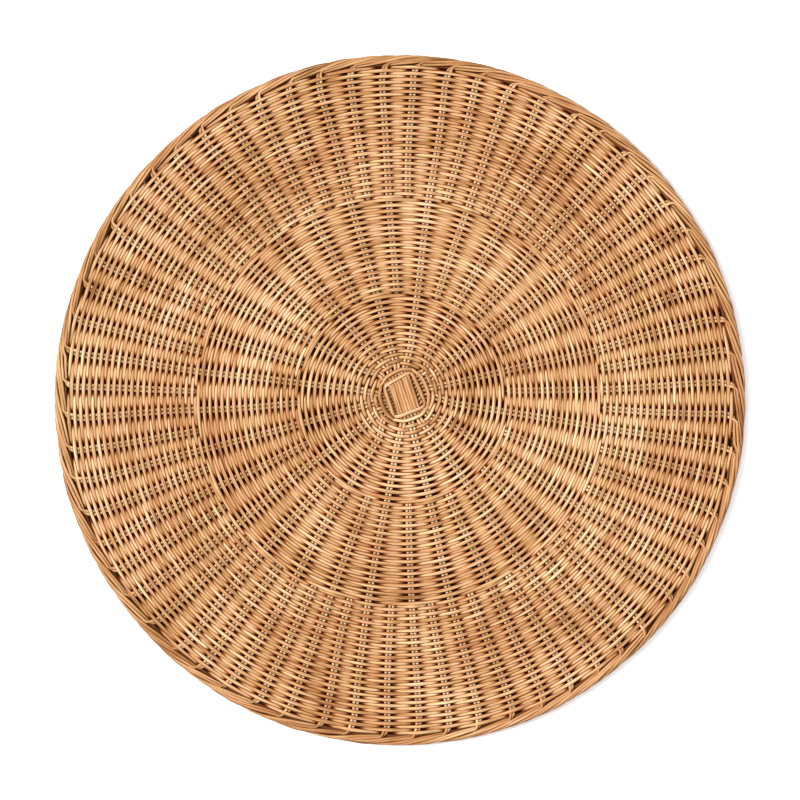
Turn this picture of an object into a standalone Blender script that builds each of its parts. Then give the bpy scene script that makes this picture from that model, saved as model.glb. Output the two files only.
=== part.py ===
# Round seat mat hand-woven from rattan core reed.
# Eight upright reeds cross eight level reeds in the middle. Their ends fan out in pairs
# as the first sixteen stakes. Folded reeds, called hairpins, add sixteen stakes at the
# first join and thirty-two at the second. Weaver rounds pass over one stake and under
# the next. At the rim the stakes turn down into a rolled border, which is made here in
# sections that each carry the outer hairpins that roll into them.
# The mat lies flat on z = 0 with its middle on the Z axis.

import math

import bmesh
import bpy
from mathutils import Vector

# Driving dimensions, in metres.
MAT_DIAMETER = 0.400
REED_DIAMETER = 0.00175
CLEARANCE = 0.0003
FIRST_JOIN_RADIUS = 0.060
SECOND_JOIN_RADIUS = 0.117
ROLL_WIDTH = 0.0067
ROLL_CROWN = 0.0030
PAIR_GAP = 0.0007
SETTLE_RUN = 0.0013
BINDING_PITCH = 0.00175
FAN_LENGTH = 0.0125
SLATH_OFFSET = Vector((0.0024, 0.0029))

# Angles, in degrees counter-clockwise from +X.
SLATH_TURN = 15.0
FIRST_STAKE_ANGLE = 2.8
BINDING_TWIST = 8.0
BINDING_SPREAD = 17.7

# Counts and proportions.
REEDS_EACH_WAY = 8
RIM_STAKES = 64
BINDING_ROUNDS = 4
INNER_BANDS = 3
MIDDLE_BANDS = 4
OUTER_BANDS = 5
BORDER_SECTIONS = 8
FOLD_TAPER = 0.5

# Colours of the reeds, linear.
STAKE_COLOUR = (0.58, 0.37, 0.17, 1.0)
HAIRPIN_COLOUR = (0.62, 0.38, 0.19, 1.0)
WEAVER_COLOUR = (0.66, 0.41, 0.19, 1.0)
BINDING_COLOUR = (0.55, 0.33, 0.15, 1.0)
BORDER_COLOUR = (0.60, 0.36, 0.16, 1.0)
REED_ROUGHNESS = 0.55

# Sizes that follow from the driving ones.
ARMS = 4
PAIRS_PER_ARM = REEDS_EACH_WAY // 2
BASE_STAKES = ARMS * PAIRS_PER_ARM
STAKE_STEP = 360.0 / RIM_STAKES
BASE_STRIDE = RIM_STAKES // BASE_STAKES
REED_HALF = REED_DIAMETER / 2
PAIR_HALF = REED_DIAMETER + CLEARANCE / 2
PAIR_PITCH = 2 * PAIR_HALF + PAIR_GAP
FLAT_HALF = PAIR_HALF + CLEARANCE
BINDING_REACH = FLAT_HALF + CLEARANCE
WEAVER_LIFT = REED_DIAMETER + CLEARANCE
MID_HEIGHT = WEAVER_LIFT + REED_HALF
SLATH_LIFT = (REED_DIAMETER + CLEARANCE) / 2
BLOCK_EDGE = PAIRS_PER_ARM * PAIR_PITCH / 2 + PAIR_HALF / 2
SETTLED = BLOCK_EDGE + SETTLE_RUN
BINDING_END = SETTLED + BINDING_ROUNDS * BINDING_PITCH

# The border roll is as thick as the mat, and the weave stops at its inner side.
MAT_RADIUS = MAT_DIAMETER / 2
ROLL_RADIUS = MAT_RADIUS - ROLL_WIDTH / 2
WEAVE_END = MAT_RADIUS - ROLL_WIDTH
STAKE_END = WEAVE_END - CLEARANCE
SECTION_STAKES = RIM_STAKES // BORDER_SECTIONS


def clear_scene():
    for thing in list(bpy.data.objects):
        bpy.data.objects.remove(thing, do_unlink=True)


def reed_material(name, colour):
    material = bpy.data.materials.new(name)
    material.use_nodes = True
    shader = material.node_tree.nodes["Principled BSDF"]
    shader.inputs["Base Color"].default_value = colour
    shader.inputs["Roughness"].default_value = REED_ROUGHNESS
    shader.inputs["Metallic"].default_value = 0.0
    return material


def polar(radius, degrees):
    angle = math.radians(degrees)
    return Vector((radius * math.cos(angle), radius * math.sin(angle)))


def left_of(direction):
    return Vector((-direction.y, direction.x)).normalized()


def in_space(flat, height):
    return Vector((flat.x, flat.y, height))


def even_steps(start, end, count):
    return [start + (end - start) * step / count for step in range(count + 1)]


# Zone edges are where one weave band ends and the next begins.
INNER_EDGES = even_steps(BINDING_END, FIRST_JOIN_RADIUS, INNER_BANDS)
MIDDLE_EDGES = even_steps(FIRST_JOIN_RADIUS, SECOND_JOIN_RADIUS, MIDDLE_BANDS)
OUTER_EDGES = even_steps(SECOND_JOIN_RADIUS, WEAVE_END - CLEARANCE / 2, OUTER_BANDS)


def ring_centre(radius):
    # The rounds start about the slath and drift to the mat's own middle by the second join.
    left_over = (SECOND_JOIN_RADIUS - radius) / (SECOND_JOIN_RADIUS - BINDING_END)
    return SLATH_OFFSET * min(max(left_over, 0.0), 1.0)


def rim_angle(stake):
    return FIRST_STAKE_ANGLE + stake * STAKE_STEP


def base_stake(arm, pair):
    # A slath arm feeds every fourth stake of the rim.
    return BASE_STRIDE * (pair + PAIRS_PER_ARM * arm) - BASE_STRIDE // 2


def base_place(stake):
    place = (stake + BASE_STRIDE // 2) // BASE_STRIDE % BASE_STAKES
    return place // PAIRS_PER_ARM, place % PAIRS_PER_ARM


def arm_angle(arm):
    return SLATH_TURN + arm * 360.0 / ARMS


def is_base(stake):
    return (stake + BASE_STRIDE // 2) % BASE_STRIDE == 0


def stake_angle(stake, radius):
    # Base stakes leave the binding closer together than they reach the rim.
    final = rim_angle(stake)
    if not is_base(stake):
        return final
    arm, pair = base_place(stake)
    across = pair - (PAIRS_PER_ARM - 1) / 2
    start = arm_angle(arm) + BINDING_TWIST + across * BINDING_SPREAD
    gap = (final - start + 180.0) % 360.0 - 180.0
    return start + gap * min(max((radius - BINDING_END) / FAN_LENGTH, 0.0), 1.0)


def slath_point(stake, beside=0.0):
    # Where a pair of base reeds leaves the crossing, or a point beside it.
    arm, pair = base_place(stake)
    along = polar(1.0, arm_angle(arm))
    across = (pair - (PAIRS_PER_ARM - 1) / 2) * PAIR_PITCH + beside
    return SLATH_OFFSET + along * BLOCK_EDGE + left_of(along) * across


def stake_point(stake, radius, beside=0.0):
    # A point on a stake's middle line, or beside it along the rounds.
    if radius >= BINDING_END:
        angle = stake_angle(stake, radius) + math.degrees(beside / radius)
        return ring_centre(radius) + polar(radius, angle)
    share = (radius - BLOCK_EDGE) / (BINDING_END - BLOCK_EDGE)
    return slath_point(stake, beside).lerp(stake_point(stake, BINDING_END, beside), share)


def stake_side(stake, inner, outer):
    return left_of(stake_point(stake, outer) - stake_point(stake, inner))


def section(centre, side, low, high):
    # Four corners of a strip one reed thick that runs from low to high along side.
    rise = Vector((0.0, 0.0, REED_HALF))
    return [
        centre + side * low - rise,
        centre + side * high - rise,
        centre + side * high + rise,
        centre + side * low + rise,
    ]


def flipped(corners):
    return [corners[1], corners[0], corners[3], corners[2]]


def join_rings(mesh, ring, after):
    for corner in range(len(ring)):
        beside = (corner + 1) % len(ring)
        mesh.faces.new((ring[corner], ring[beside], after[beside], after[corner]))


def finish_node(name, colour, mesh):
    bmesh.ops.recalc_face_normals(mesh, faces=mesh.faces)
    data = bpy.data.meshes.new(name)
    mesh.to_mesh(data)
    mesh.free()
    data.materials.append(reed_material(name, colour))
    node = bpy.data.objects.new(name, data)
    bpy.context.scene.collection.objects.link(node)


def add_node(name, colour, sections, closed=False):
    # A node swept through its sections: a closed ring, or a strip with two ends.
    mesh = bmesh.new()
    rings = [[mesh.verts.new(corner) for corner in corners] for corners in sections]
    for ring, after in zip(rings, rings[1:]):
        join_rings(mesh, ring, after)
    if closed:
        join_rings(mesh, rings[-1], rings[0])
    else:
        mesh.faces.new(rings[0])
        mesh.faces.new(reversed(rings[-1]))
    finish_node(name, colour, mesh)


def stake_sections(stake, radii, low, high, lift=0.0):
    # Sections of a strip between low and high, measured across the stake from its middle.
    sections = []
    for place, radius in enumerate(radii):
        before = radii[max(place - 1, 0)]
        after = radii[min(place + 1, len(radii) - 1)]
        side = in_space(stake_side(stake, before, after), 0.0)
        height = MID_HEIGHT
        if radius == BLOCK_EDGE:
            arm = base_place(stake)[0]
            side = (side + in_space(left_of(polar(1.0, arm_angle(arm))), 0.0)).normalized()
            height += lift
        centre = in_space(stake_point(stake, radius), height)
        sections.append(section(centre, side, low, high))
    return sections


def base_half(arm, reed, lift):
    # One end of a base reed, from the edge of the crossing to the border roll.
    stake = base_stake(arm, reed // 2)
    radii = [BLOCK_EDGE, SETTLED] + INNER_EDGES + [SECOND_JOIN_RADIUS, STAKE_END]
    if reed % 2 == 0:
        return stake_sections(stake, radii, -PAIR_HALF, -CLEARANCE / 2, lift)
    return stake_sections(stake, radii, CLEARANCE / 2, PAIR_HALF, lift)


def add_base_reeds():
    # A reed that is number n on one arm is counted from the other side on the opposite arm.
    for name, arm, lift in (("upright_stake", 1, SLATH_LIFT), ("level_stake", 0, -SLATH_LIFT)):
        for reed in range(REEDS_EACH_WAY):
            near = base_half(arm, reed, lift)
            far = base_half(arm + 2, REEDS_EACH_WAY - 1 - reed, lift)
            sections = [flipped(corners) for corners in reversed(far)] + near
            add_node(f"{name}_{reed + 1}", STAKE_COLOUR, sections)


def fold_sections(stake, fold_radius):
    # The fold is the rounded start of a reed bent double.
    start = fold_radius + CLEARANCE
    full = start + PAIR_HALF / 2
    side = in_space(stake_side(stake, start, full), 0.0)
    sections = []
    for radius, half_width in ((start, PAIR_HALF * FOLD_TAPER), (full, PAIR_HALF)):
        centre = in_space(stake_point(stake, radius), MID_HEIGHT)
        sections.append(section(centre, side, -half_width, half_width))
    return sections


def add_middle_hairpins():
    stakes = [stake for stake in range(RIM_STAKES) if stake % BASE_STRIDE == 0]
    radii = [FIRST_JOIN_RADIUS, SECOND_JOIN_RADIUS, STAKE_END]
    for number, stake in enumerate(stakes, start=1):
        legs = stake_sections(stake, radii, -PAIR_HALF, PAIR_HALF)[1:]
        sections = fold_sections(stake, FIRST_JOIN_RADIUS) + legs
        add_node(f"middle_hairpin_{number:02d}", HAIRPIN_COLOUR, sections)


def roll_outline(angle):
    # The border roll's cross-section, starting with the two corners of its inner face.
    outward = polar(1.0, angle)
    corners = (
        (-ROLL_WIDTH / 2, -REED_HALF),
        (-ROLL_WIDTH / 2, REED_HALF),
        (-ROLL_CROWN / 2, MID_HEIGHT),
        (ROLL_CROWN / 2, MID_HEIGHT),
        (ROLL_WIDTH / 2, REED_HALF),
        (ROLL_WIDTH / 2, -REED_HALF),
        (ROLL_CROWN / 2, -MID_HEIGHT),
        (-ROLL_CROWN / 2, -MID_HEIGHT),
    )
    return [in_space(outward * (ROLL_RADIUS + across), MID_HEIGHT + rise) for across, rise in corners]


def border_section(first_stake):
    # A length of the roll with an outer hairpin reaching inwards at every odd stake.
    half_pair = math.degrees(math.asin(PAIR_HALF / WEAVE_END))
    half_gap = math.degrees(CLEARANCE / 2 / WEAVE_END)
    angles = [rim_angle(first_stake - 0.5) + half_gap]
    hairpins = {}
    for stake in range(first_stake, first_stake + SECTION_STAKES):
        if stake % 2 == 0:
            angles.append(rim_angle(stake))
        else:
            hairpins[len(angles)] = stake
            angles += [rim_angle(stake) - half_pair, rim_angle(stake) + half_pair]
    angles.append(rim_angle(first_stake + SECTION_STAKES - 0.5) - half_gap)

    mesh = bmesh.new()
    outlines = [[mesh.verts.new(corner) for corner in roll_outline(angle)] for angle in angles]
    for place, (outline, after) in enumerate(zip(outlines, outlines[1:])):
        root = [outline[0], after[0], after[1], outline[1]]
        if place in hairpins:
            add_hairpin(mesh, root, hairpins[place])
        else:
            mesh.faces.new(root)
        for corner in range(1, len(outline)):
            beside = (corner + 1) % len(outline)
            mesh.faces.new((outline[corner], outline[beside], after[beside], after[corner]))
    mesh.faces.new(outlines[0])
    mesh.faces.new(reversed(outlines[-1]))
    return mesh


def add_hairpin(mesh, root, stake):
    # The legs of the hairpin grow from root, four corners on the roll's inner face.
    fold = fold_sections(stake, SECOND_JOIN_RADIUS)
    rings = [[mesh.verts.new(corner) for corner in corners] for corners in fold] + [root]
    for ring, after in zip(rings, rings[1:]):
        join_rings(mesh, ring, after)
    mesh.faces.new(rings[0])


def add_border():
    for number in range(BORDER_SECTIONS):
        mesh = border_section(number * SECTION_STAKES)
        finish_node(f"border_section_{number + 1}", BORDER_COLOUR, mesh)


def round_section(inner, outer, over):
    # A weaver's own section, standing on its inner and outer edges.
    height = MID_HEIGHT + (WEAVER_LIFT if over else -WEAVER_LIFT)
    low = height - REED_HALF
    high = height + REED_HALF
    return [in_space(inner, low), in_space(outer, low), in_space(outer, high), in_space(inner, high)]


def weave_band(stakes, inner_edge, outer_edge, first_over):
    # Several weaver rounds as one band, flat over or under each stake and sloped between them.
    inner = inner_edge + CLEARANCE / 2
    outer = outer_edge - CLEARANCE / 2
    sections = []
    for place, stake in enumerate(stakes):
        over = place % 2 == first_over
        for edge in (-FLAT_HALF, FLAT_HALF):
            inner_point = stake_point(stake, inner, edge)
            outer_point = stake_point(stake, outer, edge)
            sections.append(round_section(inner_point, outer_point, over))
    return sections


def add_weave():
    every = list(range(-BASE_STRIDE // 2, RIM_STAKES - BASE_STRIDE // 2))
    zones = (
        ("inner_weave", every[::BASE_STRIDE], INNER_EDGES),
        ("middle_weave", every[::2], MIDDLE_EDGES),
        ("outer_weave", every, OUTER_EDGES),
    )
    for name, stakes, edges in zones:
        stakes = [stake % RIM_STAKES for stake in stakes]
        for band in range(len(edges) - 1):
            sections = weave_band(stakes, edges[band], edges[band + 1], band % 2)
            add_node(f"{name}_{band + 1}", WEAVER_COLOUR, sections, closed=True)


def binding_round(number):
    # A binding round passes over one whole arm of the slath and under the next.
    inner = SETTLED + number * BINDING_PITCH + CLEARANCE / 2
    outer = inner + BINDING_PITCH - CLEARANCE
    sections = []
    for arm in range(ARMS):
        over = arm % 2 == number % 2
        beside = [-BINDING_REACH] + [0.0] * (PAIRS_PER_ARM - 2) + [BINDING_REACH]
        for pair, edge in enumerate(beside):
            stake = base_stake(arm, pair)
            inner_point = stake_point(stake, inner, edge)
            outer_point = stake_point(stake, outer, edge)
            sections.append(round_section(inner_point, outer_point, over))
    return sections


def add_binding():
    for number in range(BINDING_ROUNDS):
        add_node(f"binding_round_{number + 1}", BINDING_COLOUR, binding_round(number), closed=True)


clear_scene()
add_base_reeds()
add_middle_hairpins()
add_border()
add_binding()
add_weave()
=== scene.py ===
import math

import bpy
import numpy as np
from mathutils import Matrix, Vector


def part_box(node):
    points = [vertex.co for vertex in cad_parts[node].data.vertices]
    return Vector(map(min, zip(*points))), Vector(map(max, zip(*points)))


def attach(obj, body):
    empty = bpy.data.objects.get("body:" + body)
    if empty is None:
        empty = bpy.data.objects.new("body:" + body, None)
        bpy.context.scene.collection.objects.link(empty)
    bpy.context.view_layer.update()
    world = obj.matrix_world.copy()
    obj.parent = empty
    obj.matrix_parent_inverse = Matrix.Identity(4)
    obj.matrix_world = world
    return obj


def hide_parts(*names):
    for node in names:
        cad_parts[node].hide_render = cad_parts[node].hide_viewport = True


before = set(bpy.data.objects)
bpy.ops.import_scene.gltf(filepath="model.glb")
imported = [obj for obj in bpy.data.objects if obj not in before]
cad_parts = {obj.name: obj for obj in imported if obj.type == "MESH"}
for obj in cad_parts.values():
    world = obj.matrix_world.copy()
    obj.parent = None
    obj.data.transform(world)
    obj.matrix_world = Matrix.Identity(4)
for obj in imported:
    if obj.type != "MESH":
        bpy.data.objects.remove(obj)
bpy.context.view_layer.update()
print("frame loaded")


# sizes read from the frame


def nodePoints(name):
    return np.array([v.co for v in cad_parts[name].data.vertices], float)


def nodeMiddle(name):
    low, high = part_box(name)
    return np.array([(low.x + high.x) / 2, (low.y + high.y) / 2])


def nodeReach(name):
    # how far a ring node reaches from its own middle
    away = nodePoints(name)[:, :2] - nodeMiddle(name)
    return float(np.hypot(away[:, 0], away[:, 1]).max())


boxLow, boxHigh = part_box("border_section_1")
matRadius = max(nodeReach("outer_weave_5"), float(np.hypot(*nodePoints("border_section_1")[:, :2].T).max()))
midHeight = (boxLow.z + boxHigh.z) / 2
hairpinLow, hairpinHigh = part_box("middle_hairpin_01")
reedSize = hairpinHigh.z - hairpinLow.z
slathMiddle = nodeMiddle("binding_round_1")
bindingEnd = nodeReach("binding_round_4")
firstJoin = nodeReach("inner_weave_3")
secondJoin = nodeReach("middle_weave_4")
weaveEnd = nodeReach("outer_weave_5")
firstStakeAngle = math.degrees(math.atan2(*reversed(nodeMiddle("middle_hairpin_01"))))

stakeCount = 64
stakeStep = 360.0 / stakeCount
baseStride = 4  # a stake that starts in the slath stands at every fourth place
baseOffset = 2
pairsPerArm = 4
reedsPerArm = 8


# where the stakes run

# angles are in degrees, anticlockwise from the right
layout = {
    "pairSpread": 1.17,  # middle to middle of a pair, in reeds
    "roundPitch": 0.00171,
    "slathTurn": 15.0,
    "fanTwist": 8.0,
    "fanSpread": 17.7,
    "fanStart": 0.0165,
    "fanEnd": 0.0285,
    # no stake runs quite straight: each wanders in three waves of its own
    "strayDegrees": 0.55,
    "strayShares": (0.6, 0.35, 0.2),
    "strayWave": 1.5,
    "strayWaveStep": 1.7,
    "strayAtRim": 0.75,
    "strayMoreInside": 0.5,
    "straySeed": 11,
}
pairSpacing = reedSize * layout["pairSpread"]
roundPitch = layout["roundPitch"]

strayWaves = len(layout["strayShares"])
strayRandom = np.random.default_rng(layout["straySeed"])
strayPhase = strayRandom.uniform(0, 2 * math.pi, (stakeCount, strayWaves))
straySize = strayRandom.normal(0, 1, (stakeCount, strayWaves))
straySize = straySize * layout["strayDegrees"] * np.array(layout["strayShares"])


def smoothStep(value):
    value = np.clip(value, 0.0, 1.0)
    return value * value * (3 - 2 * value)


def ringMiddle(radius):
    # the rounds start about the slath and drift to the mat's own middle
    leftOver = (secondJoin - radius) / (secondJoin - bindingEnd)
    return slathMiddle[None, :] * np.clip(leftOver, 0.0, 1.0)[:, None]


def stakeAngle(stake, radius):
    # degrees, rising with the stake's number, for arrays of stakes and radii
    stake = np.asarray(stake)
    radius = np.asarray(radius, float)
    final = firstStakeAngle + stake * stakeStep
    place = stake % stakeCount
    share = radius / matRadius
    strayFading = layout["strayAtRim"] + layout["strayMoreInside"] * (1 - share)
    for wave in range(strayWaves):
        waves = layout["strayWave"] + layout["strayWaveStep"] * wave
        stray = np.sin(strayPhase[place, wave] + share * math.pi * waves)
        final = final + straySize[place, wave] * stray * strayFading
    isBase = (stake + baseOffset) % baseStride == 0
    base = (stake + baseOffset) // baseStride
    pair = base % pairsPerArm - (pairsPerArm - 1) / 2
    arm = base // pairsPerArm
    start = layout["slathTurn"] + arm * 90.0 + layout["fanTwist"] + pair * layout["fanSpread"]
    fanned = smoothStep((radius - layout["fanStart"]) / (layout["fanEnd"] - layout["fanStart"]))
    return np.where(isBase, start + (final - start) * fanned, final)


def polar(angle, radius):
    # flat points from angles in degrees and radii
    turn = np.radians(angle)
    return np.stack([np.cos(turn), np.sin(turn)], 1) * radius[:, None]


def onRing(angle, radius):
    return ringMiddle(radius) + polar(angle, radius)


def withHeight(flat, height):
    return np.concatenate([flat, np.broadcast_to(height, len(flat))[:, None]], 1)


# reeds are laid out as lines, then swept by Geometry Nodes

sweep = {
    "matDetail": 1.0,
    "matAxes": (1.0, 1.0, 0.25),  # the mat sways far less up and down than it does sideways
    "ownDetail": 2.0,
    "ownAxes": (1.0, 1.0, 0.5),
    "seed": 4.0,
}
noiseMiddle = 0.5
levelPhase = 0.5  # neither over nor under
cutFrom = 50  # metres of reed that each length is cut from, so that no two look the same


def addNode(tree, kind, inputs=None, **settings):
    node = tree.nodes.new(kind)
    for setting, value in settings.items():
        setattr(node, setting, value)
    for place, value in (inputs or {}).items():
        if isinstance(value, bpy.types.NodeSocket):
            tree.links.new(value, node.inputs[place])
        else:
            node.inputs[place].default_value = value
    return node


def makeReedTree():
    # sweeps each laid line into a reed that rises over and dips under as its phase says
    tree = bpy.data.node_groups.new("reed_from_line", "GeometryNodeTree")
    face = tree.interface
    face.new_socket("Geometry", in_out="INPUT", socket_type="NodeSocketGeometry")
    for name in ("Reed Width", "Reed Thickness", "Weave Lift", "Crest", "Crest Swell", "Mid Height"):
        face.new_socket(name, in_out="INPUT", socket_type="NodeSocketFloat")
    for name in ("Mat Sway", "Sway Size", "Own Sway", "Own Size", "Uneven"):
        face.new_socket(name, in_out="INPUT", socket_type="NodeSocketFloat")
    face.new_socket("Edge Radius", in_out="INPUT", socket_type="NodeSocketFloat")
    face.new_socket("Edge Steps", in_out="INPUT", socket_type="NodeSocketInt")
    face.new_socket("Seed", in_out="INPUT", socket_type="NodeSocketFloat")
    face.new_socket("Reed Material", in_out="INPUT", socket_type="NodeSocketMaterial")
    face.new_socket("Geometry", in_out="OUTPUT", socket_type="NodeSocketGeometry")
    given = addNode(tree, "NodeGroupInput").outputs
    phase = addNode(tree, "GeometryNodeInputNamedAttribute", {0: "phase"}, data_type="FLOAT")
    breadth = addNode(tree, "GeometryNodeInputNamedAttribute", {0: "breadth"}, data_type="FLOAT")
    along = addNode(tree, "GeometryNodeInputNamedAttribute", {0: "along"}, data_type="FLOAT")

    # a cosine raised to a power: steep beside the stakes and level between them
    turned = addNode(tree, "ShaderNodeMath", {0: phase.outputs[0], 1: math.pi}, operation="MULTIPLY")
    cosine = addNode(tree, "ShaderNodeMath", {0: turned.outputs[0]}, operation="COSINE")
    size = addNode(tree, "ShaderNodeMath", {0: cosine.outputs[0]}, operation="ABSOLUTE")
    shaped = addNode(tree, "ShaderNodeMath", {0: size.outputs[0], 1: given["Crest"]}, operation="POWER")
    side = addNode(tree, "ShaderNodeMath", {0: cosine.outputs[0]}, operation="SIGN")
    wave = addNode(tree, "ShaderNodeMath", {0: shaped.outputs[0], 1: side.outputs[0]}, operation="MULTIPLY")
    rise = addNode(
        tree, "ShaderNodeMath", {0: wave.outputs[0], 1: given["Weave Lift"]}, operation="MULTIPLY"
    )
    lifted = addNode(tree, "ShaderNodeCombineXYZ", {2: rise.outputs[0]})

    # the whole mat is a little out of true, and so is each reed
    place = addNode(tree, "GeometryNodeInputPosition")
    matNoise = addNode(
        tree, "ShaderNodeTexNoise",
        {"Vector": place.outputs[0], "W": given["Seed"], "Scale": given["Sway Size"],
         "Detail": sweep["matDetail"]},
        noise_dimensions="4D",
    )
    matCentred = addNode(
        tree, "ShaderNodeVectorMath", {0: matNoise.outputs["Color"], 1: (noiseMiddle,) * 3},
        operation="SUBTRACT",
    )
    matSized = addNode(
        tree, "ShaderNodeVectorMath", {0: matCentred.outputs[0], "Scale": given["Mat Sway"]},
        operation="SCALE",
    )
    matFlat = addNode(
        tree, "ShaderNodeVectorMath", {0: matSized.outputs[0], 1: sweep["matAxes"]}, operation="MULTIPLY"
    )
    ownPlace = addNode(tree, "ShaderNodeCombineXYZ", {0: along.outputs[0]})
    ownNoise = addNode(
        tree, "ShaderNodeTexNoise",
        {"Vector": ownPlace.outputs[0], "W": given["Seed"], "Scale": given["Own Size"],
         "Detail": sweep["ownDetail"]},
        noise_dimensions="4D",
    )
    ownCentred = addNode(
        tree, "ShaderNodeVectorMath", {0: ownNoise.outputs["Color"], 1: (noiseMiddle,) * 3},
        operation="SUBTRACT",
    )
    ownSized = addNode(
        tree, "ShaderNodeVectorMath", {0: ownCentred.outputs[0], "Scale": given["Own Sway"]},
        operation="SCALE",
    )
    ownFlat = addNode(
        tree, "ShaderNodeVectorMath", {0: ownSized.outputs[0], 1: sweep["ownAxes"]}, operation="MULTIPLY"
    )
    swayed = addNode(
        tree, "ShaderNodeVectorMath", {0: matFlat.outputs[0], 1: ownFlat.outputs[0]}, operation="ADD"
    )
    moved = addNode(
        tree, "ShaderNodeVectorMath", {0: swayed.outputs[0], 1: lifted.outputs[0]}, operation="ADD"
    )
    laid = addNode(
        tree, "GeometryNodeSetPosition", {"Geometry": given["Geometry"], "Offset": moved.outputs[0]}
    )

    # reeds swell where they are pressed flat over a stake, and are never quite even
    swelling = addNode(
        tree, "ShaderNodeMath", {0: shaped.outputs[0], 1: given["Crest Swell"], 2: 1.0},
        operation="MULTIPLY_ADD",
    )
    unevenCentred = addNode(
        tree, "ShaderNodeMath", {0: ownNoise.outputs[0], 1: noiseMiddle}, operation="SUBTRACT"
    )
    unevenFactor = addNode(
        tree, "ShaderNodeMath", {0: unevenCentred.outputs[0], 1: given["Uneven"], 2: 1.0},
        operation="MULTIPLY_ADD",
    )
    broad = addNode(
        tree, "ShaderNodeMath", {0: swelling.outputs[0], 1: unevenFactor.outputs[0]}, operation="MULTIPLY"
    )
    factor = addNode(
        tree, "ShaderNodeMath", {0: broad.outputs[0], 1: breadth.outputs[0]}, operation="MULTIPLY"
    )
    spline = addNode(tree, "GeometryNodeMeshToCurve", {0: laid.outputs[0]})
    level = addNode(tree, "GeometryNodeSetCurveNormal", {0: spline.outputs[0]}, mode="Z_UP")
    outline = addNode(
        tree, "GeometryNodeCurvePrimitiveQuadrilateral",
        {"Width": given["Reed Width"], "Height": given["Reed Thickness"]},
    )
    profile = addNode(
        tree, "GeometryNodeFilletCurve",
        {"Curve": outline.outputs[0], "Radius": given["Edge Radius"], "Count": given["Edge Steps"]},
        mode="POLY",
    )
    profilePlace = addNode(tree, "GeometryNodeInputPosition")
    marked = addNode(
        tree, "GeometryNodeStoreNamedAttribute",
        {"Geometry": profile.outputs[0], "Name": "section", "Value": profilePlace.outputs[0]},
        data_type="FLOAT_VECTOR", domain="POINT",
    )
    swept = addNode(
        tree, "GeometryNodeCurveToMesh",
        {"Curve": level.outputs[0], "Profile Curve": marked.outputs[0], "Scale": factor.outputs[0],
         "Fill Caps": True},
    )

    # how far a surface faces the inside of the weave, from either side of the mat: the mask for the painted
    # shade in the weave's hollows
    facing = addNode(tree, "GeometryNodeInputNormal")
    facingAxes = addNode(tree, "ShaderNodeSeparateXYZ", {0: facing.outputs[0]})
    placeAxes = addNode(tree, "ShaderNodeSeparateXYZ", {0: place.outputs[0]})
    fromMiddle = addNode(
        tree, "ShaderNodeMath", {0: given["Mid Height"], 1: placeAxes.outputs[2]}, operation="SUBTRACT"
    )
    inShare = addNode(
        tree, "ShaderNodeMath", {0: fromMiddle.outputs[0], 1: given["Mid Height"]}, operation="DIVIDE"
    )
    shadeDepth = addNode(
        tree, "ShaderNodeMath", {0: inShare.outputs[0], 1: facingAxes.outputs[2]}, operation="MULTIPLY"
    )
    deepened = addNode(
        tree, "GeometryNodeStoreNamedAttribute",
        {"Geometry": swept.outputs[0], "Name": "shadeDepth", "Value": shadeDepth.outputs[0]},
        data_type="FLOAT", domain="POINT",
    )
    smooth = addNode(tree, "GeometryNodeSetShadeSmooth", {0: deepened.outputs[0], "Shade Smooth": True})
    real = addNode(tree, "GeometryNodeRealizeInstances", {0: smooth.outputs[0]})
    painted = addNode(
        tree, "GeometryNodeSetMaterial", {0: real.outputs[0], "Material": given["Reed Material"]}
    )
    addNode(tree, "NodeGroupOutput", {0: painted.outputs[0]})
    return tree


reedTree = makeReedTree()


def lengthAlong(points):
    steps = np.linalg.norm(np.diff(points, axis=0), axis=1)
    return np.concatenate([[0.0], np.cumsum(steps)])


def layLines(name, lines):
    # each line is a dictionary of points, phase, breadth, tone, length along the reed, and closed or not
    mesh = bpy.data.meshes.new(name)
    edges = []
    count = 0
    for line in lines:
        size = len(line["points"])
        numbers = np.arange(count, count + size)
        edges.append(np.stack([numbers[:-1], numbers[1:]], 1))
        if line.get("closed"):
            edges.append(np.array([[numbers[-1], numbers[0]]]))
        count += size
    edges = np.concatenate(edges)
    mesh.vertices.add(count)
    points = np.concatenate([line["points"] for line in lines])
    mesh.vertices.foreach_set("co", points.astype(np.float32).ravel())
    mesh.edges.add(len(edges))
    mesh.edges.foreach_set("vertices", edges.astype(np.int32).ravel())
    for key in ("phase", "breadth", "tone", "along"):
        values = np.concatenate([np.broadcast_to(line[key], len(line["points"])) for line in lines])
        attribute = mesh.attributes.new(key, "FLOAT", "POINT")
        attribute.data.foreach_set("value", values.astype(np.float32))
    piece = bpy.data.objects.new(name, mesh)
    bpy.context.scene.collection.objects.link(piece)
    return piece


def sweepReeds(name, lines, sizes, material):
    laid = layLines(name + "_lines", lines)
    modifier = laid.modifiers.new("reeds", "NODES")
    modifier.node_group = reedTree
    values = dict(sizes)
    values["Seed"] = sweep["seed"]
    values["Mid Height"] = midHeight
    values["Reed Material"] = material
    for item in reedTree.interface.items_tree:
        if item.in_out == "INPUT" and item.name in values:
            modifier[item.identifier] = values[item.name]
    bpy.context.view_layer.update()
    depsgraph = bpy.context.evaluated_depsgraph_get()
    mesh = bpy.data.meshes.new_from_object(laid.evaluated_get(depsgraph), depsgraph=depsgraph)
    bpy.data.objects.remove(laid)
    mesh.name = name
    piece = bpy.data.objects.new(name, mesh)
    bpy.context.scene.collection.objects.link(piece)
    mesh.calc_loop_triangles()
    print(f"{name}: {len(mesh.loop_triangles)} triangles")
    return piece


# every reed is swept with the same unevenness of the mat as a whole
matSway = {"Mat Sway": 0.0016, "Sway Size": 16.0}


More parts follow.
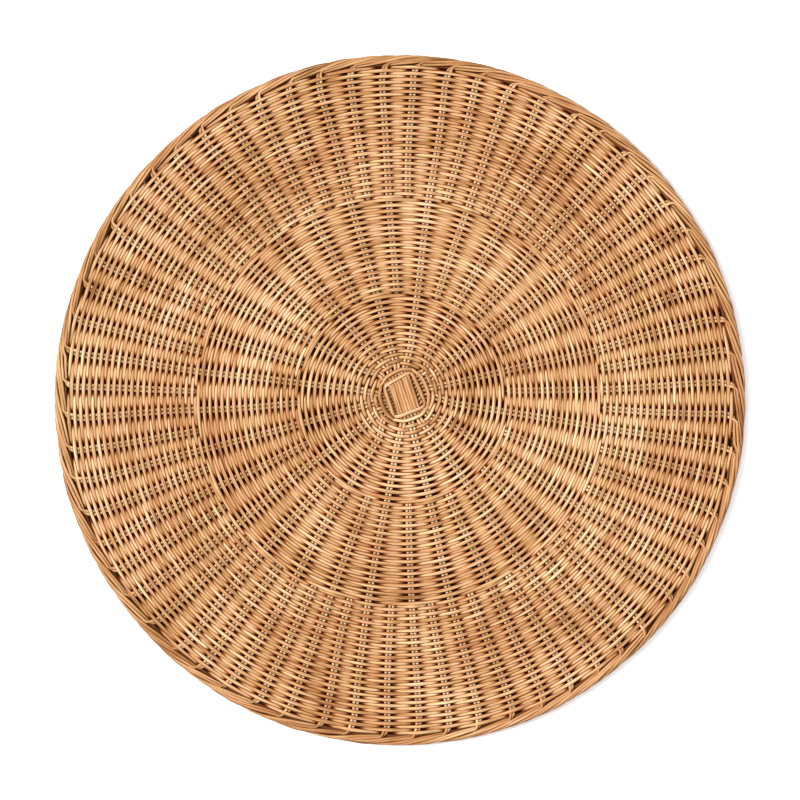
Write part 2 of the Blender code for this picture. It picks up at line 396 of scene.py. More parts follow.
def lineOf(flat, height, phase, breadth, tone, start, closed=False):
    points = withHeight(flat, height)
    return {
        "points": points, "phase": phase, "breadth": breadth, "tone": tone,
        "along": start + lengthAlong(points), "closed": closed,
    }


# colour and surface of the reeds


def hexColour(code):
    # sRGB hex to linear
    channels = [int(code[place:place + 2], 16) / 255 for place in (1, 3, 5)]
    linear = [c / 12.92 if c <= 0.04045 else ((c + 0.055) / 1.055) ** 2.4 for c in channels]
    return (*linear, 1.0)


def addRamp(tree, factor, stops):
    ramp = addNode(tree, "ShaderNodeValToRGB", {0: factor})
    while len(ramp.color_ramp.elements) < len(stops):
        ramp.color_ramp.elements.new(0.5)
    for element, (position, code) in zip(ramp.color_ramp.elements, stops):
        element.position = position
        element.color = hexColour(code)
    return ramp


def peeledRattan(name, look):
    # core rattan, peeled and drawn through a die: long open fibres that shine softly along the reed,
    # streaky in tone, with painted shade where reeds meet
    material = bpy.data.materials.new(name)
    material.use_nodes = True
    tree = material.node_tree
    shader = tree.nodes["Principled BSDF"]
    along = addNode(tree, "ShaderNodeAttribute", attribute_name="along")
    section = addNode(tree, "ShaderNodeAttribute", attribute_name="section")
    tone = addNode(tree, "ShaderNodeAttribute", attribute_name="tone")
    place = addNode(tree, "ShaderNodeTexCoord")

    # fibres: thin across the reed, long along it
    stretched = addNode(
        tree, "ShaderNodeMath", {0: along.outputs["Fac"], 1: look["fibreAcross"] / look["fibreLength"]},
        operation="MULTIPLY",
    )
    strand = addNode(tree, "ShaderNodeCombineXYZ", {2: stretched.outputs[0]})
    fibrePlace = addNode(
        tree, "ShaderNodeVectorMath", {0: section.outputs["Vector"], 1: strand.outputs[0]}, operation="ADD"
    )
    fibre = addNode(
        tree, "ShaderNodeTexNoise",
        {"Vector": fibrePlace.outputs[0], "Scale": 1.0 / look["fibreAcross"],
         "Detail": look["fibreDetail"], "Roughness": look["fibreSharpness"]},
    )
    stain = addNode(
        tree, "ShaderNodeTexNoise",
        {"W": along.outputs["Fac"], "Scale": 1.0 / look["stainLength"], "Detail": look["stainDetail"]},
        noise_dimensions="1D",
    )
    patch = addNode(
        tree, "ShaderNodeTexNoise",
        {"Vector": place.outputs["Object"], "Scale": 1.0 / look["patchSize"], "Detail": look["stainDetail"]},
    )
    fleck = addNode(
        tree, "ShaderNodeTexNoise",
        {"Vector": place.outputs["Object"], "Scale": 1.0 / look["fleckSize"], "Detail": look["fibreDetail"]},
    )
    shade = look["lightness"]
    for source, weight in (
        (fibre.outputs[0], look["fibreWeight"]),
        (stain.outputs[0], look["stainWeight"]),
        (patch.outputs[0], look["patchWeight"]),
        (fleck.outputs[0], look["fleckWeight"]),
        (tone.outputs["Fac"], look["toneWeight"]),
    ):
        centred = addNode(tree, "ShaderNodeMath", {0: source, 1: noiseMiddle}, operation="SUBTRACT")
        weighted = addNode(
            tree, "ShaderNodeMath", {0: centred.outputs[0], 1: weight, 2: shade},
            operation="MULTIPLY_ADD",
        )
        shade = weighted.outputs[0]
    ramp = addRamp(tree, shade, look["colours"])

    # some lengths lean to pink, some to grey-green, as cut cane does
    hueWander = addNode(
        tree, "ShaderNodeTexNoise",
        {"W": along.outputs["Fac"], "Scale": 1.0 / look["hueLength"], "Detail": look["hueDetail"]},
        noise_dimensions="1D",
    )
    hue = addNode(
        tree, "ShaderNodeMapRange", {0: hueWander.outputs[0], 1: look["hueRange"][0], 2: look["hueRange"][1]}
    )
    cast = addNode(tree, "ShaderNodeMix", {"Factor": hue.outputs[0]}, data_type="RGBA", blend_type="MIX")
    cast.inputs[6].default_value = hexColour(look["castWarm"])
    cast.inputs[7].default_value = hexColour(look["castPale"])
    tinted = addNode(
        tree, "ShaderNodeMix", {"Factor": look["castShare"]}, data_type="RGBA", blend_type="MULTIPLY"
    )
    tree.links.new(ramp.outputs[0], tinted.inputs[6])
    tree.links.new(cast.outputs[2], tinted.inputs[7])

    # painted shade: the colour goes dark inside the weave and along the flanks where reeds touch, where
    # shade falls
    shadeDepth = addNode(tree, "ShaderNodeAttribute", attribute_name="shadeDepth")
    inside = addNode(
        tree, "ShaderNodeMapRange", {0: shadeDepth.outputs["Fac"], 1: look["paintedShadeFrom"], 2: look["paintedShadeTo"]}
    )
    sectionAxes = addNode(tree, "ShaderNodeSeparateXYZ", {0: section.outputs["Vector"]})
    aside = addNode(tree, "ShaderNodeMath", {0: sectionAxes.outputs[0]}, operation="ABSOLUTE")
    flank = addNode(
        tree, "ShaderNodeMapRange",
        {0: aside.outputs[0], 1: reedSize * look["flankShadeFrom"], 2: reedSize * look["flankShadeTo"],
         4: look["flankShadeShare"]},
    )
    paintedShadeMask = addNode(
        tree, "ShaderNodeMath", {0: inside.outputs[0], 1: flank.outputs[0]}, operation="MAXIMUM"
    )
    paintedShade = addRamp(tree, paintedShadeMask.outputs[0], look["paintedShadeColours"])
    withPaintedShade = addNode(tree, "ShaderNodeMix", {"Factor": 1.0}, data_type="RGBA", blend_type="MULTIPLY")
    tree.links.new(tinted.outputs[2], withPaintedShade.inputs[6])
    tree.links.new(paintedShade.outputs[0], withPaintedShade.inputs[7])
    tree.links.new(withPaintedShade.outputs[2], shader.inputs["Base Color"])

    # open fibres are drier than the closed skin between them
    rough = addNode(
        tree, "ShaderNodeMapRange",
        {0: fibre.outputs[0], 1: look["fibreRange"][0], 2: look["fibreRange"][1],
         3: look["roughness"][0], 4: look["roughness"][1]},
    )
    tree.links.new(rough.outputs[0], shader.inputs["Roughness"])
    grooves = addNode(
        tree, "ShaderNodeBump",
        {"Strength": look["grooveStrength"], "Distance": look["grooveDepth"], "Height": fibre.outputs[0]},
    )
    tree.links.new(grooves.outputs[0], shader.inputs["Normal"])
    shader.inputs["IOR"].default_value = look["ior"]
    shader.inputs["Specular IOR Level"].default_value = look["specular"]
    shader.inputs["Specular Tint"].default_value = hexColour(look["glossTint"])
    shader.inputs["Metallic"].default_value = 0.0
    return material


reedLook = {
    # rattan fibres are about 0.3 mm across: too fine to show, so they are drawn three times as coarse
    "fibreAcross": 0.001,
    "fibreLength": 0.03,
    "fibreDetail": 3.0,
    "fibreSharpness": 0.6,
    "fibreRange": (0.3, 0.7),
    "stainLength": 0.035,  # stains run some 35 mm along a reed
    "stainDetail": 2.0,
    "patchSize": 0.08,  # hands and sun change the tone over about 80 mm
    "fleckSize": 0.004,  # flecks of skin left by the peeling, about 4 mm
    "hueLength": 0.12,  # half the space between two joints of the cane
    "hueDetail": 1.0,
    "hueRange": (0.35, 0.65),
    "fibreWeight": 1.5,
    "stainWeight": 0.06,
    "patchWeight": 0.56,
    "fleckWeight": 0.1,
    "toneWeight": 0.1,
    "lightness": 0.5,
    "colours": (
        (0.10, "#5e3a1e"), (0.34, "#9a7049"), (0.58, "#b69672"), (0.82, "#d2bda0"), (1.0, "#e6d8c0"),
    ),
    "castWarm": "#ffeadf",
    "castPale": "#f6efd6",
    "castShare": 0.75,
    # how deep in the weave, then how far to its flank in reeds, a surface gets painted shade
    "paintedShadeFrom": -0.18,
    "paintedShadeTo": 0.13,
    "paintedShadeColours": ((0.0, "#ffffff"), (0.32, "#e8c29e"), (0.62, "#8e4016"), (0.86, "#220300")),
    "flankShadeFrom": 0.36,
    "flankShadeTo": 0.6,
    "flankShadeShare": 0.95,
    "roughness": (0.45, 0.68),
    "ior": 1.5,
    "specular": 0.2,
    "glossTint": "#f2d2ac",
    "grooveStrength": 0.5,
    "grooveDepth": 0.00008,
}

weaverFinish = peeledRattan("peeled_core_rattan_weaver", reedLook)
# stakes lie at mid height, so their painted shade inside the weave starts deeper than a weaver's
# the stakes, hairpins and border get a lighter copy of the weavers' finish: painted light, standing in for
# light on the stake tops between the weavers
stakeLook = dict(
    reedLook, lightness=0.66, paintedShadeFrom=-0.03, paintedShadeTo=0.26,
    flankShadeFrom=0.36, flankShadeTo=0.55, flankShadeShare=0.75,
)
stakeFinish = peeledRattan("peeled_core_rattan_stake", stakeLook)
borderFinish = peeledRattan("peeled_core_rattan_border", stakeLook)
bindingFinish = peeledRattan("peeled_core_rattan_binding", reedLook)
hairpinFinish = peeledRattan("peeled_core_rattan_hairpin", stakeLook)
print("reed finishes made")


def finishPiece(piece, slot, *nodes):
    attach(piece, "root")
    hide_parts(*nodes)


def manyNodes(stem, count, digits=1):
    return [f"{stem}_{number:0{digits}d}" for number in range(1, count + 1)]


# the slath: two crossed sets of reeds bound together

slath = {
    # corners of the crossing from its own middle: upper left, upper right, lower right, lower left
    "blockCorners": ((-0.0086, 0.0042), (0.0028, 0.0118), (0.0090, -0.0067), (-0.0039, -0.0115)),
    "bindCorners": ((-0.0122, 0.0046), (0.0042, 0.0140), (0.0130, -0.0065), (-0.0058, -0.0137)),
    # the two layers lie this far above and below mid height, and share underLift of it at the binding
    "blockLift": 0.00085,
    "underLift": 0.35,
    "underReach": 0.0014,
    "straightShare": 0.2,
    "armMiddle": 0.556,
    "armSpread": 0.82,
    "darkening": 2.0,  # the slath's reeds are darker, taking back most of the stakes' painted lightening there
    "bindMiddleRadius": 0.0122,
}
bindMiddleRadius = slath["bindMiddleRadius"]


def armSide(arm, corners):
    # the two corners of the crossing on an arm's side, in the order that its reeds are counted
    # arms 0 to 3 point right, up, left and down, and reeds are counted anticlockwise
    upperLeft, upperRight, lowerRight, lowerLeft = [np.array(corner) for corner in corners]
    sides = (
        (lowerRight, upperRight), (upperRight, upperLeft), (upperLeft, lowerLeft), (lowerLeft, lowerRight),
    )
    return sides[arm]


def slathReedPoints(arm, reed):
    # control points of one end of a slath reed, from the crossing outwards
    stake = baseStride * (reed // 2 + pairsPerArm * arm) - baseOffset
    share = (reed + 0.5) / reedsPerArm
    near, far = armSide(arm, slath["blockCorners"])
    start = near + (far - near) * share
    near, far = armSide(arm, slath["bindCorners"])
    along = (far - near) / np.linalg.norm(far - near)
    outward = np.array([along[1], -along[0]])
    place = slath["armMiddle"] + (share - 0.5) * slath["armSpread"]
    under = near + (far - near) * place + outward * slath["underReach"]
    beside = (reed % 2 - 0.5) * pairSpacing
    return stake, start, under, beside


def stakeRun(stake, radii, beside):
    # points of a stake's reed at these radii, offset sideways from the stake's middle line
    angle = stakeAngle(np.full(len(radii), stake), radii) + np.degrees(beside / radii)
    return onRing(angle, radii)


splineSteps = 3


def splineThrough(points, spacing):
    # a smooth curve through points that does not overshoot, resampled evenly
    points = np.asarray(points, float)
    steps = np.sqrt(np.linalg.norm(np.diff(points, axis=0), axis=1))
    knots = np.concatenate([[0.0], np.cumsum(steps)])
    padded = np.concatenate([[2 * points[0] - points[1]], points, [2 * points[-1] - points[-2]]])
    padKnots = np.concatenate([[-steps[0]], knots, [knots[-1] + steps[-1]]])
    samples = []
    for place in range(len(points) - 1):
        p0, p1, p2, p3 = padded[place:place + 4]
        t0, t1, t2, t3 = padKnots[place:place + 4]
        count = max(2, int(np.linalg.norm(p2 - p1) / spacing * splineSteps))
        t = np.linspace(t1, t2, count, endpoint=False)[:, None]
        a1 = (t1 - t) / (t1 - t0) * p0 + (t - t0) / (t1 - t0) * p1
        a2 = (t2 - t) / (t2 - t1) * p1 + (t - t1) / (t2 - t1) * p2
        a3 = (t3 - t) / (t3 - t2) * p2 + (t - t2) / (t3 - t2) * p3
        b1 = (t2 - t) / (t2 - t0) * a1 + (t - t0) / (t2 - t0) * a2
        b2 = (t3 - t) / (t3 - t1) * a2 + (t - t1) / (t3 - t1) * a3
        samples.append((t2 - t) / (t2 - t1) * b1 + (t - t1) / (t2 - t1) * b2)
    samples.append(points[-1:])
    dense = np.concatenate(samples)
    length = lengthAlong(dense)
    even = np.linspace(0.0, length[-1], max(3, int(round(length[-1] / spacing)) + 1))
    return np.stack([np.interp(even, length, dense[:, axis]) for axis in range(dense.shape[1])], 1)


# a stake swells a little beyond the reed of the frame
stakeBreadth = 1.1
stakeThickness = 1.14

# the border: stake ends rolled down round the rim

border = {
    # stakes passed, and degrees wound round the roll by then
    "turnsByStake": ((0.0, 2.0), (1.0, 66.0), (2.0, 158.0), (3.0, 252.0), (4.0, 338.0)),
    "step": 0.16,
    "reach": 3.9,
    "tuckedAway": 350.0,
    "leadAngle": 44.0,
    "innerShare": 0.42,
    "wobble": 0.05,
    "wobbleWaves": 1.7,
    "wobbleStart": 6.28,  # up to a full turn, in radians
    "restRoom": 0.0006,
    "reedBreadth": 0.9,
    "strayDegrees": 4.0,
    "darkening": 2.6,  # the rim's reeds are darker, more than taking back the stakes' painted lightening there
    "seed": 23,
}
borderRandom = np.random.default_rng(border["seed"])
borderReed = reedSize * stakeThickness * border["reedBreadth"]
rollUp = midHeight - borderReed / 2
lastRound = weaveEnd + border["restRoom"]
weaverGrowth = 2 * roundPitch


def outermostRound(angle):
    # radius of the last weaver at an angle: each of the two weavers ends on its own side
    passed = ((angle - (firstStakeAngle - baseOffset * stakeStep)) / 360.0) % 1.0
    short = np.minimum(1 - passed, 1 - (passed + 0.5) % 1.0)
    return lastRound - weaverGrowth * short


def borderRun(stake, side):
    # points of a stake's end: clockwise round the rim while it winds over the roll and under it
    beside = (side - 0.5) * pairSpacing
    exitAngle = float(stakeAngle(np.array([stake]), np.array([weaveEnd]))[0])
    leading = side == 0
    passed, turned = np.array(border["turnsByStake"]).T
    steps = np.arange(border["step"], border["reach"], border["step"])
    wind = np.interp(steps, passed, turned) + border["leadAngle"] * leading
    wind = np.radians(wind + borderRandom.normal(0, border["strayDegrees"]))
    steps = steps[wind < math.radians(border["tuckedAway"])]
    wind = wind[wind < math.radians(border["tuckedAway"])]
    angle = exitAngle + np.degrees(beside / weaveEnd) - steps * stakeStep
    inner = outermostRound(angle) + reedSize * border["innerShare"]
    across = (matRadius - inner - borderReed) / 2
    wobbleStart = borderRandom.uniform(0, border["wobbleStart"])
    wobble = 1 + border["wobble"] * np.sin(wind * border["wobbleWaves"] + wobbleStart)
    radius = (matRadius + inner) / 2 - across * np.cos(wind) * wobble
    height = midHeight + rollUp * np.sin(wind)
    return withHeight(polar(angle, radius), height)


# pieces made of stakes

stakeSizes = dict(
    matSway,
    **{
        "Reed Width": reedSize * stakeBreadth, "Reed Thickness": reedSize * stakeThickness,
        "Weave Lift": 0.0, "Crest": 0.9,
        "Crest Swell": 0.0, "Own Sway": 0.00035, "Own Size": 60.0, "Uneven": 0.25,
        "Edge Radius": reedSize * 0.3, "Edge Steps": 1,
    },
)
stakeReed = {
    # the reeds of the slath are placed at fanRadii, then every runStep from runStart to the last rounds
    "pointSpacing": 0.0017,
    "toneMiddle": 0.5,
    "toneSpread": 0.28,
    "toneRange": (-0.2, 1.2),
    "rollStart": 0.002,
    "rollFade": 0.003,
    "slathFade": 0.008,
    "fanRadii": (0.0172, 0.0205, 0.0245, 0.029),
    "runStart": 0.034,
    "runStep": 0.006,
    "runStop": 0.004,
    "seed": 31,
}
toneRandom = np.random.default_rng(stakeReed["seed"])


def reedLine(points):
    tone = toneRandom.normal(stakeReed["toneMiddle"], stakeReed["toneSpread"])
    tone = float(np.clip(tone, *stakeReed["toneRange"]))
    path = splineThrough(points, stakeReed["pointSpacing"])
    start = toneRandom.uniform(0, cutFrom)
    away = np.hypot(path[:, 0], path[:, 1])
    rolled = smoothStep((away - weaveEnd + stakeReed["rollStart"]) / stakeReed["rollFade"])
    inSlath = 1 - smoothStep((away - bindMiddleRadius) / stakeReed["slathFade"])
    breadth = 1 - (1 - border["reedBreadth"]) * rolled
    # stake reeds are darker in the slath and at the rim, where the stakes' painted lightening is taken back
    tone = tone - border["darkening"] * rolled - slath["darkening"] * inSlath
    return lineOf(path[:, :2], path[:, 2], levelPhase, breadth, tone, start)


def runOut(start):
    # radii at which a stake is placed, from where it straightens to the last rounds
    return np.arange(start, weaveEnd - stakeReed["runStop"], stakeReed["runStep"])


def slathReedHalf(arm, reed, lift):
    stake, start, under, beside = slathReedPoints(arm, reed)
    radii = np.concatenate([stakeReed["fanRadii"], runOut(stakeReed["runStart"])])
    outer = withHeight(stakeRun(stake, radii, beside), midHeight)
    # the middle of the crossing is kept straight by a point part of the way to its edge
    opposite = slathReedPoints((arm + 2) % 4, reedsPerArm - 1 - reed)[1]
    within = start + (opposite - start) * slath["straightShare"]
    inner = np.array([
        [*(slathMiddle + within), midHeight + lift],
        [*(slathMiddle + start), midHeight + lift],
        [*(slathMiddle + under), midHeight + lift * slath["underLift"]],
    ])
    return np.concatenate([inner, outer, borderRun(stake, reed % 2)])


def slathReeds(arm, lift):
    lines = []
    for reed in range(reedsPerArm):
        near = slathReedHalf(arm, reed, lift)
        far = slathReedHalf(arm + 2, reedsPerArm - 1 - reed, lift)
        lines.append(reedLine(np.concatenate([far[::-1], near])))
    return lines


uprightReeds = sweepReeds("upright_reeds", slathReeds(1, slath["blockLift"]), stakeSizes, stakeFinish)
finishPiece(uprightReeds, "stake_reed", *manyNodes("upright_stake", 8))
levelReeds = sweepReeds("level_reeds", slathReeds(0, -slath["blockLift"]), stakeSizes, stakeFinish)
finishPiece(levelReeds, "stake_reed", *manyNodes("level_stake", 8))


# reaches are out from the join, dips are below the stakes in reeds
hairpin = {
    "bendReach": (0.0022, 0.0042, 0.007),
    "legReach": 0.012,
    "legDip": (0.55, 0.25),
    "tipReach": 0.0007,
    "tipDip": 0.7,
}


def hairpinLine(stake, foldRadius):
    # a reed bent double: down one leg, round the fold and up the other
    bend = foldRadius + np.array(hairpin["bendReach"])
    radii = np.concatenate([bend, runOut(foldRadius + hairpin["legReach"])])
    height = np.full(len(radii), midHeight)
    height[:len(hairpin["legDip"])] -= reedSize * np.array(hairpin["legDip"])
    legs = []
    for side in (0, 1):
        beside = (side - 0.5) * pairSpacing
        leg = withHeight(stakeRun(stake, radii, beside), height)
        legs.append(np.concatenate([leg, borderRun(stake, side)]))
    tipRadius = np.array([foldRadius + hairpin["tipReach"]])
    tip = withHeight(stakeRun(stake, tipRadius, 0.0), midHeight - reedSize * hairpin["tipDip"])
    return reedLine(np.concatenate([legs[0][::-1], tip, legs[1]]))


middleLines = [hairpinLine(stake, firstJoin) for stake in range(0, stakeCount, baseStride)]
middleHairpins = sweepReeds("middle_hairpins", middleLines, stakeSizes, hairpinFinish)
finishPiece(middleHairpins, "hairpin_reed", *manyNodes("middle_hairpin", 16, 2))
outerLines = [hairpinLine(stake, secondJoin) for stake in range(1, stakeCount, 2)]
outerHairpins = sweepReeds("outer_hairpins", outerLines, stakeSizes, borderFinish)
finishPiece(outerHairpins, "border_reed", *manyNodes("border_section", 8))

# three reeds laid round the rim, which the border is rolled over, given a very dark tone: painted shade,
# showing dark through the gaps in the border
rimCore = {
    "places": ((0.1, 0.8), (0.95, 0.3), (1.85, 0.1)),  # outwards and down, in reeds
    "stepDegrees": 0.75,
    "evenedOver": 21,
    "breadth": 0.9,
    # a very dark tone: painted shade seen through the border's gaps
    "tone": -6.4,
    "start": 3.0,
}
coreLines = []
evenedOver = rimCore["evenedOver"]
for outward, drop in rimCore["places"]:
    angle = np.arange(0, 360, rimCore["stepDegrees"])
    radius = outermostRound(angle) + reedSize * outward
    wrapped = np.concatenate([radius[-(evenedOver // 2):], radius, radius[:evenedOver // 2]])
    radius = np.convolve(wrapped, np.ones(evenedOver) / evenedOver, "valid")
    coreLines.append(lineOf(
        polar(angle, radius), midHeight - reedSize * drop, levelPhase,
        rimCore["breadth"], rimCore["tone"], rimCore["start"], closed=True,
    ))
borderCore = sweepReeds("border_core_reeds", coreLines, stakeSizes, borderFinish)
finishPiece(borderCore, "border_reed")
print("stakes and border made")


# the binding: two strands over and under whole arms

# angles in degrees; numbers of rounds are counted outwards from the first
binding = {
    "rounds": 2,
    "pointsPerArm": 22,
    "roundStep": 1.05,
    "cornerReach": 26.0,
    "cornerPull": 0.95,
    "cornerRound": 0.24,
    "cornerPoints": 9,
    "sidePoints": 14,
    "cornerTurn": 24.0,
    "pullFull": 2.1,
    "pullFadeFrom": 3.4,
    "squareFade": 8.5,
    "toneMiddle": 0.55,
    "toneSpread": 0.2,
    "seed": 57,
}


def bindOutline():
    # polar radius of the first bound round, a rounded four-sided shape
    corners = [np.array(corner) for corner in slath["bindCorners"]]
    points = []
    for place, here in enumerate(corners):
        before = corners[place - 1]
        after = corners[(place + 1) % len(corners)]
        into = here + (before - here) * binding["cornerRound"]
        out = here + (after - here) * binding["cornerRound"]
        for t in np.linspace(0, 1, binding["cornerPoints"]):
            points.append((1 - t) ** 2 * into + 2 * t * (1 - t) * here + t * t * out)
        side = np.linspace(binding["cornerRound"], 1 - binding["cornerRound"], binding["sidePoints"])
        for t in side[1:-1]:
            points.append(here + (after - here) * t)
    points = np.array(points)
    angle = np.degrees(np.arctan2(points[:, 1], points[:, 0])) % 360
    order = np.argsort(angle)
    return angle[order], np.hypot(points[:, 0], points[:, 1])[order]


outlineAngle, outlineRadius = bindOutline()
# corner angles in the order upper left, upper right, lower right, lower left
cornerAngles = [math.degrees(math.atan2(y, x)) % 360 for x, y in slath["bindCorners"]]


def squareness(angle):
    radius = np.interp(np.asarray(angle) % 360, outlineAngle, outlineRadius, period=360)
    return radius - bindMiddleRadius


def roundRadius(angle, number):
    # radius of strand round number, from the bound crossing's outline to a true circle
    fade = 1 - np.clip(number / binding["squareFade"], 0.0, 1.0)
    # rounds are pulled together where they turn a corner, with nothing between them to hold them apart
    nearCorner = np.zeros(len(angle))
    for corner in cornerAngles:
        away = np.abs((angle - corner + 180.0) % 360.0 - 180.0)
        nearCorner = np.maximum(nearCorner, 1 - smoothStep(away / binding["cornerReach"]))
    fadeLength = binding["squareFade"] - binding["pullFadeFrom"]
    faded = np.clip((number - binding["pullFadeFrom"]) / fadeLength, 0.0, 1.0)
    pull = np.clip(number / binding["pullFull"], 0.0, 1.0) * (1 - faded)
    pulled = number - binding["cornerPull"] * nearCorner * pull
    return bindMiddleRadius + pulled * roundPitch + squareness(angle) * fade


def armPhase(angle, over):
    # zero over an arm and one under the next, changing only as the strand rounds a corner
    upperLeft, upperRight, lowerRight, lowerLeft = cornerAngles
    edges = np.array([lowerRight - 360, upperRight, upperLeft, lowerLeft, lowerRight, upperRight + 360])
    turn = binding["cornerTurn"]
    phase = np.zeros(len(angle))
    for edge in edges:
        phase = phase + smoothStep((angle - edge + turn) / (2 * turn))
    return phase - 1 + over


# the same two weavers go on into the weave, and so does their run of random values
weaverRandom = np.random.default_rng(binding["seed"])
bindingLines = []
for strand in (0, 1):
    for turn in range(binding["rounds"]):
        angle = np.linspace(0, 360, 4 * binding["pointsPerArm"], endpoint=False)
        phase = armPhase(angle, 1 - strand)
        under = (1 - np.cos(np.pi * phase)) / 2
        number = (2 * turn + under) * binding["roundStep"]
        flat = polar(angle, roundRadius(angle, number)) + slathMiddle
        tone = float(np.clip(weaverRandom.normal(binding["toneMiddle"], binding["toneSpread"]), 0, 1))
        start = weaverRandom.uniform(0, cutFrom)
        bindingLines.append(lineOf(flat, midHeight, phase, 1.0, tone, start, closed=True))

weaverSizes = dict(
    matSway,
    **{
        "Reed Width": reedSize * 1.22, "Reed Thickness": reedSize * 0.93, "Weave Lift": reedSize * 0.9,
        "Crest": 1.0, "Crest Swell": 0.12, "Own Sway": 0.0003, "Own Size": 70.0, "Uneven": 0.3,
        "Edge Radius": reedSize * 0.34, "Edge Steps": 1,
    },
)
bindingSizes = dict(weaverSizes, **{"Reed Width": reedSize * 1.15})
bindingStrands = sweepReeds("binding_strands", bindingLines, bindingSizes, bindingFinish)
finishPiece(bindingStrands, "binding_reed", *manyNodes("binding_round", 4))
print("binding made")


# the weave: two weavers chasing each other outwards

weave = {
    "pointsPerStake": 8,
    "innerTurns": 12,
    "middleTurns": 17,
    "outerTurns": 22,
    "innerStart": 3.4,  # in rounds: where the bound rounds stop
    "joinEvery": 1.6,  # metres of reed, give or take half
    "joinUneven": (0.5, 1.5),
    "toneMiddle": 0.5,
    "toneSpread": 0.3,
    "toneRange": (-0.2, 1.2),
    # the first tails are tucked below the stakes, in stakes passed and in reeds
    "tailStakes": 4,
    "tuckStart": 0.5,
    "tuckRun": 0.8,
    "tuckDepth": 0.9,
}


def weaverTone(length, random):
    # a weaver is many reeds joined end to end, each with its own tone
    joins = int(length[-1] / weave["joinEvery"]) + 3
    edges = np.cumsum(random.uniform(*weave["joinUneven"], joins) * weave["joinEvery"])
    values = np.clip(random.normal(weave["toneMiddle"], weave["toneSpread"], joins + 1), *weave["toneRange"])
    return values[np.searchsorted(edges, length)]


def weaverLine(strand, stride, turns, startNumber, startRadius, endRadius):
    # strand 0 and 1 start at opposite sides and go over alternate stakes
    stakes = stakeCount // stride
    firstStake = strand * stakeCount // 2 - baseOffset
    count = turns * stakes * weave["pointsPerStake"]
    tail = 0 if startNumber is None else int(weave["tailStakes"] * weave["pointsPerStake"])
    passed = np.arange(-tail, count + 1) / weave["pointsPerStake"]
    whole = np.floor(passed).astype(int)
    part = passed - whole
    radius = startRadius + (endRadius - startRadius) * np.maximum(passed, 0) / (turns * stakes)
    low = stakeAngle(firstStake + whole * stride, radius)
    high = stakeAngle(firstStake + (whole + 1) * stride, radius)
    angle = low + (high - low) * part
    if startNumber is not None:
        number = startNumber + (radius - startRadius) / roundPitch
        squared = roundRadius(angle, number)
    else:
        squared = radius
    flat = ringMiddle(radius) + polar(angle, squared)
    tucked = smoothStep((-weave["tuckStart"] - passed) / weave["tuckRun"])
    points = withHeight(flat, midHeight - reedSize * weave["tuckDepth"] * tucked)
    length = lengthAlong(points)
    woven = np.maximum(passed, -weave["tuckStart"] if tail else 0.0)
    if strand and startNumber is None:
        # beside newly added stakes the second weaver first passes them two at a time
        woven = np.where(passed < stakes // 2, woven / 2, woven)
    phase = woven + strand * (1 + stakes // 2)
    return {
        "points": points, "phase": phase, "breadth": 1.0,
        "tone": weaverTone(length, weaverRandom),
        "along": weaverRandom.uniform(0, cutFrom) + length, "closed": False,
    }


innerStartRadius = bindMiddleRadius + weave["innerStart"] * roundPitch
innerLines = [
    weaverLine(strand, 4, weave["innerTurns"], weave["innerStart"], innerStartRadius, firstJoin)
    for strand in (0, 1)
]
innerSizes = dict(weaverSizes, **{"Crest": 1.5})
innerWeavers = sweepReeds("inner_weavers", innerLines, innerSizes, weaverFinish)
finishPiece(innerWeavers, "weaver_reed", *manyNodes("inner_weave", 3))
middleLines = [
    weaverLine(strand, 2, weave["middleTurns"], None, firstJoin, secondJoin) for strand in (0, 1)
]
middleSizes = dict(weaverSizes, **{"Crest": 2.0})
middleWeavers = sweepReeds("middle_weavers", middleLines, middleSizes, weaverFinish)
finishPiece(middleWeavers, "weaver_reed", *manyNodes("middle_weave", 4))
outerNodes = manyNodes("outer_weave", 5)
outerSizes = dict(weaverSizes, **{"Crest": 1.9})
for strand, nodes in ((0, outerNodes[:3]), (1, outerNodes[3:])):
    lines = [weaverLine(strand, 1, weave["outerTurns"], None, secondJoin, lastRound)]
    outerWeaver = sweepReeds(f"outer_weaver_{strand + 1}", lines, outerSizes, weaverFinish)
    finishPiece(outerWeaver, "weaver_reed", *nodes)
print("weave made")


# floor, light and camera

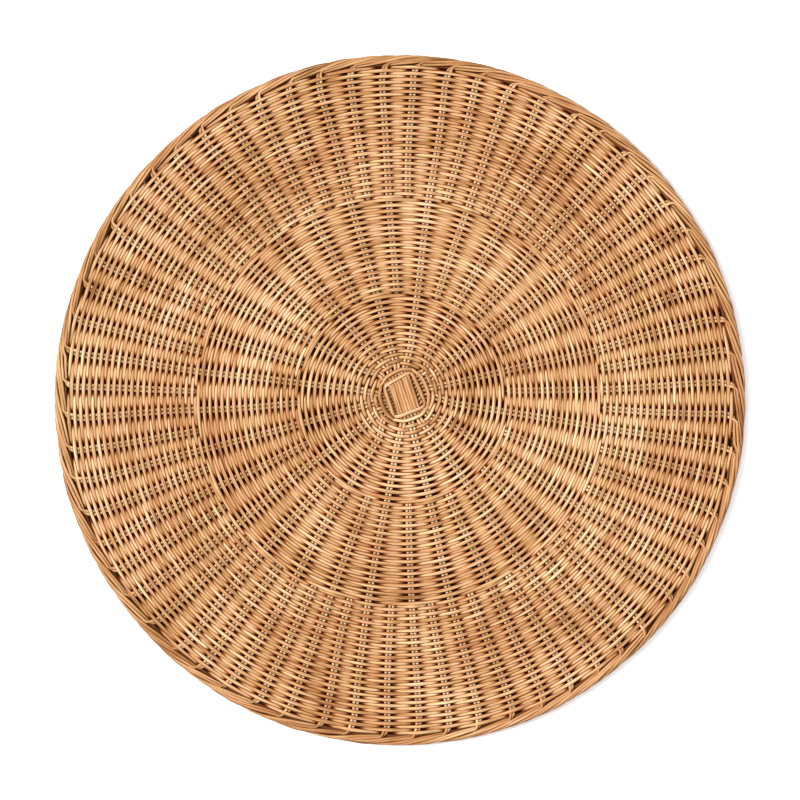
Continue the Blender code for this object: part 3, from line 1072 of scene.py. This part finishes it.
studio = {
    "frameWidth": 0.4638,
    "cameraHeight": 2.4,
    "floorSize": 6.0,
    "skyStrength": 1.2,
    "keyStrength": 4.4,
    "keySoftness": 10.0,
    "keyElevation": 46.0,
    "keyAzimuth": 165.0,
    "floorColour": "#f7f7f7",
    "floorRoughness": 0.9,
    "sensorWidth": 36.0,
    "seesTo": 50.0,
}

scene = bpy.context.scene
scene.view_settings.view_transform = "Standard"
floorMesh = bpy.data.meshes.new("floor")
half = studio["floorSize"] / 2
floorCorners = [(-half, -half, 0), (half, -half, 0), (half, half, 0), (-half, half, 0)]
floorMesh.from_pydata(floorCorners, [], [(0, 1, 2, 3)])
floor = bpy.data.objects.new("floor", floorMesh)
scene.collection.objects.link(floor)
floorPaint = bpy.data.materials.new("matt_white_paint")
floorPaint.use_nodes = True
floorShader = floorPaint.node_tree.nodes["Principled BSDF"]
floorShader.inputs["Base Color"].default_value = hexColour(studio["floorColour"])
floorShader.inputs["Roughness"].default_value = studio["floorRoughness"]
floorMesh.materials.append(floorPaint)

world = bpy.data.worlds.new("studio")
scene.world = world
world.use_nodes = True
sky = world.node_tree.nodes["Background"]
sky.inputs["Color"].default_value = (1.0, 1.0, 1.0, 1.0)
sky.inputs["Strength"].default_value = studio["skyStrength"]


def addSun(name, strength, softness, elevation, azimuth):
    light = bpy.data.lights.new(name, "SUN")
    light.energy = strength
    light.angle = math.radians(softness)
    lamp = bpy.data.objects.new(name, light)
    direction = Vector((
        math.cos(math.radians(elevation)) * math.cos(math.radians(azimuth)),
        math.cos(math.radians(elevation)) * math.sin(math.radians(azimuth)),
        math.sin(math.radians(elevation)),
    ))
    lamp.rotation_euler = direction.to_track_quat("Z", "Y").to_euler()
    scene.collection.objects.link(lamp)


addSun("key", studio["keyStrength"], studio["keySoftness"], studio["keyElevation"], studio["keyAzimuth"])

cameraData = bpy.data.cameras.new("camera")
camera = bpy.data.objects.new("camera", cameraData)
scene.collection.objects.link(camera)
camera.location = (0.0, 0.0, studio["cameraHeight"])
cameraData.sensor_width = studio["sensorWidth"]
cameraData.lens = studio["sensorWidth"] * studio["cameraHeight"] / studio["frameWidth"]
cameraData.clip_end = studio["seesTo"]
scene.camera = camera
print("studio made")
